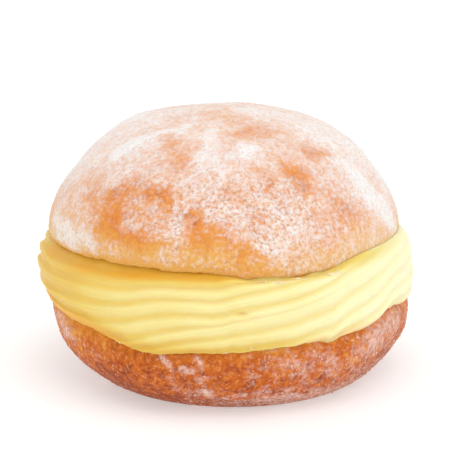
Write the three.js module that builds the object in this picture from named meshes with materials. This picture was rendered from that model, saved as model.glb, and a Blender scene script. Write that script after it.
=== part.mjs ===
// A cream-filled doughnut: a round fried bun, cut level into a base and a lid, with a thick layer of
// custard cream piped through a star nozzle between them. The cream bulges past both crusts, and its
// ridges climb from left to right across the front.
//
// Millimetres, +Z up. The origin is on the table, under the middle of the doughnut. -Y is the front,
// where the lid is propped furthest open, and +X is the right-hand side seen from there.
import * as THREE from "three";

// ---- sizes, in mm -------------------------------------------------------------------------------
const LID_RADIUS = 45.9; // half width of the lid
const LID_TOP = 69.6; // height of the lid's crown
const LID_BELLY = 3.8; // the lid is widest this far above its cut edge
const LID_SHIFT = -0.7; // the lid sits a little left of the middle
const BASE_RADIUS = 46.7;
const BASE_BELLY = 4.6; // the base is widest this far below its cut edge
const BASE_SHIFT = 0.8;
const FOOT_RADIUS = 34.0; // flat spot that the doughnut rests on
const FOOT_SHIFT = 0.8; // the foot sits further right than the base's rim
const EDGE = 3.2; // how far each cut edge rounds in
const CUT_LOW = 22.6; // level of the base's cut face at its middle
const CUT_LOW_TILT = -3.1; // its change from the middle to the front
const CUT_HIGH = 35.4; // level of the lid's cut face at its middle
const CUT_HIGH_TILT = 2.0;
const CREAM_OUT = 2.7; // how far the cream bulges past the crusts
const CREAM_UP = 2.1; // how far it is squeezed up the lid's edge
const CREAM_DOWN = 1.3; // how far it sags over the base's edge
const RECESS = 1.3; // how far the cream draws back under the lid, at the front left
const RIDGE = 0.8; // height of the piped ridges
// The six ridges across the front, lowest first: each one's height share in the gap, at every 20 degrees from
// 80 left of the front to 80 right of it. They swirl up to the right, and run closer together in places.
const RIDGES_FRONT = [
  [-0.41, -0.28, -0.16, 0.07, 0.175, 0.22, 0.45, 0.62, 0.81],
  [-0.2, -0.14, -0.08, 0.23, 0.375, 0.47, 0.72, 0.88, 1.01],
  [0.05, 0.13, 0.17, 0.43, 0.46, 0.54, 0.77, 0.95, 1.13],
  [0.25, 0.35, 0.41, 0.63, 0.635, 0.73, 0.93, 1.04, 1.23],
  [0.57, 0.61, 0.63, 0.78, 0.79, 0.9, 1.19, 1.33, 1.47],
  [0.81, 0.82, 0.83, 0.9, 0.93, 1.06, 1.29, 1.49, 1.67],
];
const RIDGE_PITCH = 0.21; // height share from one ridge to the next, beyond those six
const RIDGES_BACK = 4.5; // ridges across the gap elsewhere
const RIDGE_SKEW = 0.6; // each ridge is steeper above its crest than below
const RIDGE_CLIMB = 11; // ridges that climb out of the gap in one turn
const CLEAR = 0.35; // air between the cream and the crusts
const LUMP = 0.3; // unevenness of the crust
const MIDDLE = new THREE.Vector2(-0.23, -0.1); // middle of the whole outline

const LID_TURNS = 48;
const BASE_TURNS = 48;
const CREAM_TURNS = 76;
const CREAM_ROWS = 33;

// ---- helpers ------------------------------------------------------------------------------------
const { sin, cos, sqrt, abs, min, max, PI, exp, asin, hypot, atan2 } = Math;
const deg = THREE.MathUtils.radToDeg;
const clamp = THREE.MathUtils.clamp;
const ease = (a, b, x) => THREE.MathUtils.smoothstep(x, a, b);

// A soft bump in azimuth, in degrees, centred on `at`.
function hump(turn, at, width) {
  const off = THREE.MathUtils.euclideanModulo(deg(turn) - at + 180, 360) - 180;
  return exp(-((off / width) ** 2));
}

// Azimuth runs from the front (0) to the right (+90 degrees); kept within half a turn either way.
const wrapped = (turn) => THREE.MathUtils.euclideanModulo(turn + PI, 2 * PI) - PI;

// ---- outlines of the bun --------------------------------------------------------------------------
const lidRadius = (a) => LID_RADIUS * (1 + 0.004 * cos(2 * a + 0.6) + 0.004 * cos(3 * a - 0.4));
const baseRadius = (a) => BASE_RADIUS * (1 + 0.004 * cos(2 * a + 1.9) + 0.004 * cos(3 * a + 1.0));

// The knife left both cut edges wavy. Right of the front, the lid's edge dips into the cream.
const lidDip = (a) => -2.7 * ease(-6, 8, deg(a)) * (1 - ease(28, 54, deg(a)));
const lidWave = (a) => lidDip(a) + 1.1 * hump(a, -32, 34) + 0.2 * sin(5 * a + 0.5);
const baseWave = (a) =>
  2.9 * hump(a, 63, 10) + 1.0 * hump(a, 30, 14) + 2.4 * hump(a, -78, 20) + 1.5 * hump(a, -47, 11) -
  1.5 * hump(a, -24, 13) +   0.12 * sin(4 * a + 2.0) + 0.15 * sin(9 * a);

function cutHigh(a, r) {
  const q = min(r / LID_RADIUS, 1.2);
  return CUT_HIGH + CUT_HIGH_TILT * cos(a) * q + lidWave(a) * q ** 3;
}

function cutLow(a, r) {
  const q = min(r / BASE_RADIUS, 1.2);
  return CUT_LOW + CUT_LOW_TILT * cos(a) * q + baseWave(a) * q ** 3;
}

// The lid's underside, with its rounded edge, as a height over the point x, y.
function lidUnder(x, y) {
  const a = atan2(x - LID_SHIFT, -y), r = hypot(x - LID_SHIFT, y), R = lidRadius(a);
  if (r > R) return Infinity;
  const e = clamp((r - (R - EDGE)) / EDGE, 0, 1);
  return cutHigh(a, min(r, R - EDGE)) + LID_BELLY * (1 - sqrt(1 - e * e));
}

// The base's top, with its rounded edge, in the same way.
function baseOver(x, y) {
  const a = atan2(x - BASE_SHIFT, -y), r = hypot(x - BASE_SHIFT, y), R = baseRadius(a);
  if (r > R) return -Infinity;
  const e = clamp((r - (R - EDGE)) / EDGE, 0, 1);
  return cutLow(a, min(r, R - EDGE)) - BASE_BELLY * (1 - sqrt(1 - e * e));
}

// Gentle unevenness of a risen, fried crust, from the place on it.
function lump(p) {
  return LUMP * (
    0.9 * sin(0.11 * p.x + 0.07 * p.y + 0.13 * p.z + 0.4) +
    0.7 * sin(-0.16 * p.x + 0.12 * p.y + 0.09 * p.z + 2.1) +
    0.5 * sin(0.21 * p.x + 0.19 * p.y - 0.17 * p.z + 4.0) +
    0.4 * sin(0.06 * p.x - 0.27 * p.y + 0.22 * p.z + 1.2)
  );
}

// ---- the three solids -----------------------------------------------------------------------------
// Each one is a lathe of `rows` stations from its lowest middle point to its highest, with every vertex
// then placed by a function of its station and its turn. It is turned from right to left, so that the
// diagonals of its facets climb the same way as the ridges, and its facets are then faced outwards again.
function turned(rows, turns, place) {
  const strip = rows.map((_, i) => new THREE.Vector2(i === 0 || i === rows.length - 1 ? 0 : 1, i));
  const shape = new THREE.LatheGeometry(strip, turns);
  const at = shape.attributes.position, uv = shape.attributes.uv;
  for (let k = 0; k < at.count; k++) {
    const row = Math.round(uv.getY(k) * (rows.length - 1));
    const seg = Math.round(uv.getX(k) * turns) % turns;
    const p = place(rows[row], wrapped((-2 * PI * seg) / turns));
    at.setXYZ(k, p.x - MIDDLE.x, p.y - MIDDLE.y, p.z);
  }
  const face = shape.index;
  for (let k = 0; k < face.count; k += 3) {
    const swap = face.getX(k + 1);
    face.setX(k + 1, face.getX(k + 2));
    face.setX(k + 2, swap);
  }
  shape.deleteAttribute("normal");
  shape.deleteAttribute("uv");
  return shape;
}

const polar = (shift, a, r, z) => new THREE.Vector3(shift + r * sin(a), -r * cos(a), z);
const steps = (from, to, n) => Array.from({ length: n }, (_, i) => from + ((to - from) * i) / (n - 1));

// Lid: the underside outwards, round the cut edge, then over the dome to the crown.
const lidRows = [
  ...[0, 0.45, 0.8].map((share) => ({ part: "under", share })),
  ...steps(1, 0, 5).map((s) => ({ part: "edge", s })),
  ...steps(1, 0, 15).slice(1).map((s) => ({ part: "dome", s })),
];
function placeLid(row, a) {
  const R = lidRadius(a), rim = cutHigh(a, R - EDGE), belly = rim + LID_BELLY;
  if (row.part === "under") {
    const r = row.share * (R - EDGE);
    return polar(LID_SHIFT, a, r, cutHigh(a, r));
  }
  if (row.part === "edge") {
    const b = (row.s * PI) / 2;
    return polar(LID_SHIFT, a, R - EDGE * (1 - cos(b)), belly - LID_BELLY * sin(b));
  }
  const b = (row.s * PI) / 2, up = max(cos(b), 0);
  const full = 1 + 0.085 * exp(-(((b - 0.45) / 0.24) ** 2)) - 0.026 * exp(-(((b - 1.08) / 0.24) ** 2)) -
    0.016 * hump(a, -90, 60) * exp(-(((b - 1.2) / 0.26) ** 2));
  const p = polar(LID_SHIFT, a, R * sin(b) ** 0.98 * full, belly * (1 - up) + LID_TOP * up);
  const out = new THREE.Vector3(p.x - LID_SHIFT, p.y, p.z - CUT_HIGH).normalize();
  return p.addScaledVector(out, lump(p) * ease(0, 0.4, up));
}

// Base: the foot outwards, up the bowl, round the cut edge, then in over the cut face.
const baseRows = [
  ...[0, 0.5, 0.93].map((share) => ({ part: "foot", share })),
  ...steps(0, 1, 9).map((s) => ({ part: "bowl", s })),
  ...steps(0, 1, 5).slice(1).map((s) => ({ part: "edge", s })),
  ...[0.8, 0.45, 0].map((share) => ({ part: "cut", share })),
];
function placeBase(row, a) {
  const R = baseRadius(a), rim = cutLow(a, R - EDGE), belly = rim - BASE_BELLY;
  if (row.part === "foot") return polar(BASE_SHIFT + FOOT_SHIFT, a, FOOT_RADIUS * row.share, 0);
  if (row.part === "cut") {
    const r = row.share * (R - EDGE);
    return polar(BASE_SHIFT, a, r, cutLow(a, r));
  }
  if (row.part === "edge") {
    const b = (row.s * PI) / 2;
    return polar(BASE_SHIFT, a, R - EDGE * (1 - cos(b)), belly + BASE_BELLY * sin(b));
  }
  const k = sqrt(1 - (FOOT_RADIUS / R) ** 2), b = asin(k) * (1 - row.s);
  const p = polar(BASE_SHIFT + FOOT_SHIFT * (1 - row.s) ** 2, a, R * cos(b), belly * (1 - sin(b) / k));
  const out = new THREE.Vector3(p.x - BASE_SHIFT, p.y, p.z - CUT_LOW).normalize();
  p.addScaledVector(out, lump(p) * ease(0, 0.25, row.s) * (1 - ease(0.7, 1, row.s)));
  p.z = max(p.z, 0.35 * ease(0, 0.12, row.s));
  return p;
}

// Cream: the height share of ridge k at this turn, with more like it below and above the six.
function ridgeCurve(row, a) {
  const s = clamp((deg(a) + 80) / 20, 0, 7.999), i = Math.floor(s), f = s - i, last = row.length - 1;
  const at = (k) => (k < 0 ? 2 * row[0] - row[1] : k > last ? 2 * row[last] - row[last - 1] : row[k]);
  const [p, q, r, t] = [at(i - 1), at(i), at(i + 1), at(i + 2)];
  return q + 0.5 * f * (r - p + f * (2 * p - 5 * q + 4 * r - t + f * (3 * (q - r) + t - p)));
}
function ridgeHeight(k, a) {
  const last = RIDGES_FRONT.length - 1;
  if (k < 0) return ridgeCurve(RIDGES_FRONT[0], a) + RIDGE_PITCH * k;
  if (k > last) return ridgeCurve(RIDGES_FRONT[last], a) + RIDGE_PITCH * (k - last);
  return ridgeCurve(RIDGES_FRONT[k], a);
}

// How far the surface stands out there: 1 on a crest, 0 in a valley, with shallow valleys where ridges crowd.
function ridge(v, a) {
  const d = deg(a), front = ease(-104, -76, d) * (1 - ease(60, 92, d));
  let phase = RIDGES_BACK * (v - 0.5) + 1.5 - (RIDGE_CLIMB * d) / 360, depth = 1;
  if (front > 0) {
    let k = -4;
    while (ridgeHeight(k + 1, a) < v) k++;
    const low = ridgeHeight(k, a), gap = ridgeHeight(k + 1, a) - low;
    phase += front * (k + (v - low) / gap - phase);
    depth += front * (min(gap / 0.17, 1) ** 1.2 - 1);
  }
  const f = phase - Math.floor(phase), h = 1 - depth * (0.5 - 0.5 * cos(2 * PI * (f + RIDGE_SKEW * f * (1 - f))));
  return 0.5 + (h - 0.5) * (1 - 0.3 * ease(20, 60, d) * (1 - ease(100, 140, d)));
}

// The cream's bare side at height share v, from the base's edge (0) to the lid's (1).
function creamSide(v, a) {
  const d = deg(a), Rl = lidRadius(a), Rb = baseRadius(a);
  const shade = ease(-92, -66, d) * (1 - ease(-4, 8, d)), dip = 0.8 * lidDip(a);
  const low = cutLow(a, Rb - EDGE) - CREAM_DOWN;
  const high = cutHigh(a, Rl - EDGE) - dip + CREAM_UP + (0.4 - CREAM_UP) * shade + 1.2 * hump(a, 64, 28);
  // On the right the cream stands out as far at its edges as halfway up.
  const square = hump(a, 85, 45);
  const bulge = CREAM_OUT + 0.25 * abs(sin(a)) - 0.1 * cos(a) - 0.7 * square;
  const sag = 1.1 - 0.1 * sin(a) - 0.2 * cos(a);
  const groove = min(ridgeHeight(5, a), 0.97);
  const side = (Rb + 0.3) * (1 - v) + (Rl - 0.35) * v + bulge * (1 - abs(2 * v ** sag - 1) ** (2.4 + 2.4 * square)) -
    shade * RECESS * (0.7 * ease(groove, groove + 0.09, v) + 0.3 * ease(groove, 1.02, v));
  const rise = RIDGE * (1 - 0.75 * shade * ease(groove, groove + 0.1, v));
  const r = side + rise * (ridge(v, a) - 0.5);
  // Where the lid dips, it presses the top of the cream down.
  const z = low + (high - low) * v, over = max(z - (high + 1.2 * dip - 2), 0);
  return { r, z: z + (dip / 1.92) * (over - 2 * (1 - exp(-over / 2))) };
}

const creamRows = [
  ...[0, 0.5, 0.85, 0.93, 0.97].map((share) => ({ part: "floor", share })),
  ...steps(0, 1, CREAM_ROWS).map((v) => ({ part: "side", v })),
  ...[0.97, 0.93, 0.85, 0.5, 0].map((share) => ({ part: "roof", share })),
];
function placeCream(row, a) {
  const at = creamSide(row.part === "side" ? row.v : row.part === "roof" ? 1 : 0, a);
  const r = row.part === "side" ? at.r : at.r * row.share;
  const p = polar(0, a, r, at.z);
  // The crusts stay clear: they are felt a little inwards of the point as well as straight above or below it.
  const near = r > 1 ? (r - 0.25) / r : 1;
  const top = lidUnder(p.x * near, p.y * near) - CLEAR, foot = baseOver(p.x * near, p.y * near) + CLEAR;
  if (row.part === "roof") p.z = min(top, 200);
  else if (row.part === "floor") p.z = max(foot, -200);
  else p.z = max(min(p.z, top), foot);
  return p;
}

// ---- assembly -------------------------------------------------------------------------------------
const crust = new THREE.MeshStandardMaterial({ color: 0xd08a50, roughness: 0.85, metalness: 0 });
const darkCrust = new THREE.MeshStandardMaterial({ color: 0xb9683a, roughness: 0.85, metalness: 0 });
const custard = new THREE.MeshStandardMaterial({ color: 0xf6e08a, roughness: 0.45, metalness: 0 });

function piece(name, shape, material) {
  const mesh = new THREE.Mesh(shape, material);
  mesh.name = name;
  return mesh;
}

const doughnut = new THREE.Group();
doughnut.name = "cream_filled_doughnut";
doughnut.add(piece("bun_base", turned(baseRows, BASE_TURNS, placeBase), darkCrust));
doughnut.add(piece("cream_filling", turned(creamRows, CREAM_TURNS, placeCream), custard));
doughnut.add(piece("bun_lid", turned(lidRows, LID_TURNS, placeLid), crust));

export default doughnut;
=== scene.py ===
from math import cos, pi, radians, sin

import bmesh
import bpy
import numpy as np
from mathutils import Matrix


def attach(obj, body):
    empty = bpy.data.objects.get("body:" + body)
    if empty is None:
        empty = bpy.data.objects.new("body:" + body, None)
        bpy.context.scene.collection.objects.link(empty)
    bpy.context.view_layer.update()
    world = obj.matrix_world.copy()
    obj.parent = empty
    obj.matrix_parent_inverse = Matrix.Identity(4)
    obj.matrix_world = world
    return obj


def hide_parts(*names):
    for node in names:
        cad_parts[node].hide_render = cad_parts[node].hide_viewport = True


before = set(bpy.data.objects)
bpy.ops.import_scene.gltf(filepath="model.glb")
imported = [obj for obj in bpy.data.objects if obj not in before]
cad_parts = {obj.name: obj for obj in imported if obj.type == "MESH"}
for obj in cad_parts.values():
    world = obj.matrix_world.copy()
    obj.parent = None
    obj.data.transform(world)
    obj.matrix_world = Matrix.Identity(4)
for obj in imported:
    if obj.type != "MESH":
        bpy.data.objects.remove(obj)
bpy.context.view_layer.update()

MM = 0.001
DEG = 180 / pi

# ---- the bun and the cream, by the same rules as the CAD solids --------------------------------------
LID_RADIUS, LID_TOP, LID_BELLY, LID_SHIFT = 45.9, 69.6, 3.8, -0.7
BASE_RADIUS, BASE_BELLY, BASE_SHIFT = 46.7, 4.6, 0.8
FOOT_RADIUS, FOOT_SHIFT, EDGE = 34.0, 0.8, 3.2
CUT_LOW, CUT_LOW_TILT, CUT_HIGH, CUT_HIGH_TILT = 22.6, -3.1, 35.4, 2.0
CREAM_OUT, CREAM_UP, CREAM_DOWN, RECESS, RIDGE = 2.7, 2.1, 1.3, 1.3, 0.8
RIDGES_FRONT = np.array(((-0.41, -0.28, -0.16, 0.07, 0.175, 0.22, 0.45, 0.62, 0.81),
                         (-0.2, -0.14, -0.08, 0.23, 0.375, 0.47, 0.72, 0.88, 1.01),
                         (0.05, 0.13, 0.17, 0.43, 0.46, 0.54, 0.77, 0.95, 1.13),
                         (0.25, 0.35, 0.41, 0.63, 0.635, 0.73, 0.93, 1.04, 1.23),
                         (0.57, 0.61, 0.63, 0.78, 0.79, 0.9, 1.19, 1.33, 1.47),
                         (0.81, 0.82, 0.83, 0.9, 0.93, 1.06, 1.29, 1.49, 1.67)))
RIDGE_PITCH, RIDGES_BACK, RIDGE_CLIMB, RIDGE_SKEW = 0.21, 4.5, 11, 0.6
LUMP = 0.3
MIDDLE = np.array((-0.23, -0.1, 0.0))


def ease(a, b, x):
    t = np.clip((x - a) / (b - a), 0, 1)
    return t * t * (3 - 2 * t)


def hump(a, at, width):
    off = (a * DEG - at + 180) % 360 - 180
    return np.exp(-((off / width) ** 2))


def lid_radius(a):
    return LID_RADIUS * (1 + 0.004 * np.cos(2 * a + 0.6) + 0.004 * np.cos(3 * a - 0.4))


def base_radius(a):
    return BASE_RADIUS * (1 + 0.004 * np.cos(2 * a + 1.9) + 0.004 * np.cos(3 * a + 1.0))


def lid_dip(a):
    return -2.7 * ease(-6, 8, a * DEG) * (1 - ease(28, 54, a * DEG))


def lid_wave(a):
    return lid_dip(a) + 1.1 * hump(a, -32, 34) + 0.2 * np.sin(5 * a + 0.5)


def base_wave(a):
    return (2.9 * hump(a, 63, 10) + hump(a, 30, 14) + 2.4 * hump(a, -78, 20) + 1.5 * hump(a, -47, 11) - 1.5 * hump(a, -24, 13)
            + 0.12 * np.sin(4 * a + 2.0) + 0.15 * np.sin(9 * a))


def cut_high(a, r):
    q = np.clip(r / LID_RADIUS, 0, 1.2)
    return CUT_HIGH + CUT_HIGH_TILT * np.cos(a) * q + lid_wave(a) * q**3


def cut_low(a, r):
    q = np.clip(r / BASE_RADIUS, 0, 1.2)
    return CUT_LOW + CUT_LOW_TILT * np.cos(a) * q + base_wave(a) * q**3


def lid_under(x, y):
    a, r = np.arctan2(x - LID_SHIFT, -y), np.hypot(x - LID_SHIFT, y)
    R = lid_radius(a)
    e = np.clip((r - (R - EDGE)) / EDGE, 0, 1)
    z = cut_high(a, np.minimum(r, R - EDGE)) + LID_BELLY * (1 - np.sqrt(1 - e * e))
    return np.where(r > R, 1e3, z)


def base_over(x, y):
    a, r = np.arctan2(x - BASE_SHIFT, -y), np.hypot(x - BASE_SHIFT, y)
    R = base_radius(a)
    e = np.clip((r - (R - EDGE)) / EDGE, 0, 1)
    z = cut_low(a, np.minimum(r, R - EDGE)) - BASE_BELLY * (1 - np.sqrt(1 - e * e))
    return np.where(r > R, -1e3, z)


def lump(p):
    x, y, z = p[..., 0], p[..., 1], p[..., 2]
    return LUMP * (0.9 * np.sin(0.11 * x + 0.07 * y + 0.13 * z + 0.4) + 0.7 * np.sin(-0.16 * x + 0.12 * y + 0.09 * z + 2.1)
                   + 0.5 * np.sin(0.21 * x + 0.19 * y - 0.17 * z + 4.0) + 0.4 * np.sin(0.06 * x - 0.27 * y + 0.22 * z + 1.2))


def polar(shift, a, r, z):
    return np.stack(np.broadcast_arrays(shift + r * np.sin(a), -r * np.cos(a), z), axis=-1)


def outward(p, middle):
    v = p - np.array(middle)
    return v / np.maximum(np.linalg.norm(v, axis=-1, keepdims=True), 1e-9)


# ---- noise ---------------------------------------------------------------------------------------
_rng = np.random.RandomState(11)
_perm = np.tile(_rng.permutation(256), 3)
_grad = _rng.normal(size=(256, 3))
_grad /= np.linalg.norm(_grad, axis=1, keepdims=True)


def noise(p, size, seed=0):
    """Smooth noise, about -1 to 1, with features about `size` mm wide."""
    q = np.asarray(p, float) / size + np.array((17.3, 5.1, 9.7)) * (seed + 1)
    shape = q.shape[:-1]
    q = q.reshape(-1, 3)
    i = np.floor(q).astype(int)
    f = q - i
    u = f**3 * (f * (f * 6 - 15) + 10)
    out = 0
    for dx in (0, 1):
        for dy in (0, 1):
            for dz in (0, 1):
                h = _perm[_perm[_perm[(i[:, 0] + dx) & 255] + ((i[:, 1] + dy) & 255)] + ((i[:, 2] + dz) & 255)]
                d = np.einsum("ij,ij->i", _grad[h], f - (dx, dy, dz))
                w = (u[:, 0] if dx else 1 - u[:, 0]) * (u[:, 1] if dy else 1 - u[:, 1]) * (u[:, 2] if dz else 1 - u[:, 2])
                out = out + d * w
    return (1.6 * out).reshape(shape)


def layers(p, size, count, seed=0):
    """Noise summed over octaves."""
    return sum(noise(p, size / 2**k, seed + 31 * k) / 2**k for k in range(count))


def bent(p, reach, size, seed):
    """The places p, each pushed about by up to `reach` mm, so that patches get ragged outlines."""
    return p + reach * np.stack([noise(p, size, seed + 7 * k) for k in range(3)], axis=-1)


# ---- meshes --------------------------------------------------------------------------------------
def normals(P):
    """Outward normals of a grid of rows from the bottom to the top and turns to the right."""
    along = np.roll(P, -1, axis=1) - np.roll(P, 1, axis=1)
    up = np.gradient(P, axis=0)
    n = np.cross(along, up)
    n /= np.maximum(np.linalg.norm(n, axis=-1, keepdims=True), 1e-12)
    n[0], n[-1] = (0, 0, -1), (0, 0, 1)
    return n


def disc(uv, strips, P, centre, radius):
    """Lays rings of a grid out as a disc, each at the radius that keeps its share of the area. strips[0] meets the pole."""
    n = len(strips)
    mid = P.mean(axis=1, keepdims=True)
    reach = np.linalg.norm((P - mid)[..., :2], axis=-1).mean(1)
    step = np.linalg.norm(np.diff(P, axis=0), axis=-1).mean(1)
    area = np.array([max((reach[i] + reach[i + 1]) * step[i], 1e-6) for i in strips])
    rim = radius * np.sqrt(np.concatenate([[0], np.cumsum(area)]) / area.sum())
    turns = P.shape[1]
    a = 2 * pi * np.arange(turns + 1) / turns
    ring = np.stack([np.cos(a), np.sin(a)], -1)
    down = n > 1 and strips[0] > strips[1] or strips[0] > 0
    for k, i in enumerate(strips):
        low, high = (rim[k + 1], rim[k]) if down else (rim[k], rim[k + 1])
        uv[i, :, 0], uv[i, :, 1] = centre + low * ring[:-1], centre + low * ring[1:]
        uv[i, :, 2], uv[i, :, 3] = centre + high * ring[1:], centre + high * ring[:-1]


def bands(uv, strips, P, count, low, high):
    """Lays the side of a grid out as `count` bands, one above another."""
    turns = P.shape[1]
    step = np.linalg.norm(np.diff(P, axis=0), axis=-1).mean(1)[strips]
    up = np.concatenate([[0], np.cumsum(step)]) / step.sum()
    each, tall = turns // count, (high - low) / count
    j = np.arange(turns)
    left, band = 0.005 + 0.99 * (j % each) / each, low + tall * (j // each)
    right = left + 0.99 / each
    for k, i in enumerate(strips):
        under, over = band + 0.96 * tall * up[k], band + 0.96 * tall * up[k + 1]
        for corner, (x, y) in enumerate(((left, under), (right, under), (right, over), (left, over))):
            uv[i, :, corner] = np.stack([x, y], -1)


def lathe(name, P, fields, layout):
    """A closed mesh from a grid whose first and last rows are single points. `fields` are numbers per vertex."""
    rows, turns = P.shape[:2]
    ring = lambda G: np.concatenate([G[0, :1], G[1:-1].reshape(-1, *G.shape[2:]), G[-1, :1]])
    verts = (ring(P) - MIDDLE) * MM
    j = np.arange(turns)
    k = (j + 1) % turns
    start = 1 + turns * np.arange(rows - 2)[:, None]
    quads = np.stack([start[:-1] + j, start[:-1] + k, start[1:] + k, start[1:] + j], axis=-1).reshape(-1, 4)
    low = np.stack([np.zeros_like(j), 1 + k, 1 + j], axis=-1)
    last = len(verts) - 1
    high = np.stack([np.full_like(j, last), start[-1, 0] + j, start[-1, 0] + k], axis=-1)
    mesh = bpy.data.meshes.new(name)
    loops = np.concatenate([low.ravel(), quads.ravel(), high.ravel()])
    sizes = np.concatenate([np.full(turns, 3), np.full(len(quads), 4), np.full(turns, 3)])
    mesh.vertices.add(len(verts))
    mesh.vertices.foreach_set("co", verts.ravel())
    mesh.loops.add(len(loops))
    mesh.loops.foreach_set("vertex_index", loops)
    mesh.polygons.add(len(sizes))
    mesh.polygons.foreach_set("loop_start", np.concatenate([[0], np.cumsum(sizes)[:-1]]))
    mesh.polygons.foreach_set("use_smooth", np.ones(len(sizes), bool))
    mesh.update(calc_edges=True)
    uv = np.zeros((rows - 1, turns, 4, 2))
    layout(uv, P)
    flat = np.concatenate([uv[0][:, [0, 2, 3]].reshape(-1, 2), uv[1:-1].reshape(-1, 2), uv[-1][:, [3, 0, 1]].reshape(-1, 2)])
    mesh.uv_layers.new(name="OFBake").data.foreach_set("uv", flat.astype(np.float32).ravel())
    mesh.validate()
    for label, values in fields.items():
        mesh.attributes.new(label, "FLOAT", "POINT").data.foreach_set("value", ring(values).astype(np.float32))
    piece = bpy.data.objects.new(name, mesh)
    bpy.context.collection.objects.link(piece)
    return piece


TURN = lambda n: np.linspace(-pi, pi, n, endpoint=False)[None, :]


# ---- where the sugar lies --------------------------------------------------------------------------
# Streaks on the lid: turn and rise of both ends, in degrees seen from inside it, half width in mm, and strength.
LID_WHITE = [
    (-58, 45, -55, 51, 1.6, 0.9), (-55, 51, -39, 63, 1.6, 1), (-46, 50, -38, 52, 1.7, 0.5), (-11, 61, -9, 50, 1.6, 0.7), (-14, 42, -3, 48, 2.1, 0.5),
    (-1, 44, 10, 50, 2.1, 0.25), (13, 52, 17, 52, 1.8, 1), (-74, 16, -62, 15.5, 2.0, 1), (-62, 15.5, -47, 15, 1.8, 1), (-28, 25, -23, 23, 2.4, 0.15),
    (-16, 29, -16, 18, 0.9, 0.3), (12, 20, 25, 24, 2.4, 0.42), (60, 39, 63, 32, 2.3, 0.65), (-67, 12, -56, 11, 1.4, 0.9), (63, 32, 70, 18, 2.6, 0.9),
    (62, 57, 66, 50, 2.1, 0.4), (13, 17, 20, 15, 1.8, 0.25), (68, 18, 75, 12, 1.6, 0.8), (-23, 14, -18, 13, 1, 0.6),
    (-46, 12, -38, 12, 1, 0.25)]
LID_BARE = [
    (-41, 30, -36, 20, 2, 1), (-54, 29, -43, 23, 2.1, 0.55), (-30, 18, -20, 17, 1.4, 0.9), (-25, 33, -20, 29.5, 1.6, 0.8), (-36, 31, -32, 28, 1.4, 0.35),
    (-32, 54, -17, 46, 2.6, 0.6), (-10, 26.5, -7, 20.5, 1.6, 0.85), (-6, 20, 6, 17, 2.4, 0.9), (-11, 18, -7, 17, 1.6, 0.5),
    (-72, 28, -55, 36, 2.1, 0.35), (-39, 36, -30, 34, 1.6, 0.4), (-27, 80, 15, 62, 2.4, 0.2), (29, 41.5, 32.5, 38.5, 2.3, 0.85),
    (43, 47, 54, 44.5, 1.3, 0.7), (14, 44, 18, 38, 1.4, 0.45), (42, 28, 48, 20, 3.1, 0.42), (13, 62, 42, 61, 1.8, 0.4),
    (31, 27, 33, 25, 1.6, 0.15), (11, 31, 14, 25, 1.6, 0.45), (2, 36, 6, 32, 1.6, 0.3), (24, 16, 39, 16, 2.1, 0.2),
    (-34, 19, -31, 18, 1.6, 0.4), (5, 14, 12, 12, 1.6, 0.5), (-44, 21, -38, 18, 1.8, 0.4)]
# Streaks on the base: turn in degrees and height in mm of both ends, half width and strength.
BASE_WHITE = [
    (-21, 16.2, -18.5, 14.8, 1.1, 1.15), (-14, 14.2, -12.5, 12.8, 0.95, 1.15), (-9.5, 17.2, -9.5, 15.4, 0.85, 1.15), (-9, 11.0, -8, 6.0, 1.1, 0.7), (-20, 10.7, -15, 7.2, 1.6, 0.55),
    (15, 16.3, 24, 13.2, 1.8, 0.4), (27, 16.2, 36, 12.1, 1.8, 0.4), (51, 19.0, 67, 18.1, 2.4, 0.5), (45, 14.4, 57, 14.9, 2.4, 0.5),
    (-74, 18.8, -62, 16.6, 2.0, 0.85), (-58, 15.6, -53, 14.4, 1.4, 0.4), (-48, 13.4, -44, 12.6, 1.2, 0.5), (-11, 7.6, 2, 5.5, 1.8, 0.15), (10, 5.1, 31, 3.0, 1.6, 0.3), (-36, 10.6, -30, 8.0, 1.3, 0.15)]
BASE_BARE = [
    (-42, 15.0, -28, 15.6, 2.1, 1.0), (-39, 11.7, -27, 7.2, 1.8, 1.1), (-7, 16.3, 2, 15.4, 1.8, 0.8), (0, 11.6, 10, 9.4, 1.6, 0.6),
    (22, 16.6, 26, 15.3, 1.0, 0.6), (37, 18.9, 41, 16.7, 1.3, 0.7), (-80, 20.0, -46, 18.0, 2.2, 1.0), (-32, 7.5, -22, 5.0, 1.9, 0.5)]


def unseen(count, seed, low, high, small, large, first=95, last=270):
    """More streaks like those, over the sides and back that the photo hides."""
    r = np.random.RandomState(seed)
    a, b = r.uniform(first, last, count), r.uniform(low, high, count)
    return list(zip(a, b, a + r.uniform(-14, 14, count), b + r.uniform(-0.2, 0.2, count) * (high - low),
                    r.uniform(small, large, count), r.uniform(0.5, 1.0, count)))


LID_WHITE += unseen(34, 3, 10, 72, 1.3, 2.8)
LID_BARE += unseen(34, 4, 10, 54, 1.3, 2.5, 112, 248)
BASE_WHITE += [(*mark[:5], 0.68 * mark[5]) for mark in unseen(26, 5, 4, 19, 1.0, 2.1)]
BASE_BARE += unseen(14, 6, 5, 19, 1.0, 2.1)
LID_HEART = np.array((LID_SHIFT, 0.0, 30.0))


def on_lid(turn, rise):
    a, b = turn / DEG, rise / DEG
    return 42 * np.array((sin(a) * cos(b), -cos(a) * cos(b), sin(b)))


def on_base(turn, height):
    return np.array((46 * sin(turn / DEG), -46 * cos(turn / DEG), height))


def streaks(q, marks, place):
    total = 0
    for u, v, w, x, r, strength in marks:
        start, way = place(u, v), place(w, x) - place(u, v)
        t = np.clip(((q - start) @ way) / max(way @ way, 1e-6), 0, 1)
        gap = ((q - start - t[..., None] * way) ** 2).sum(-1)
        total = total + strength * np.exp(-gap / (1.3 * r) ** 2)
    return np.minimum(total, 1.2)


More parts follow.
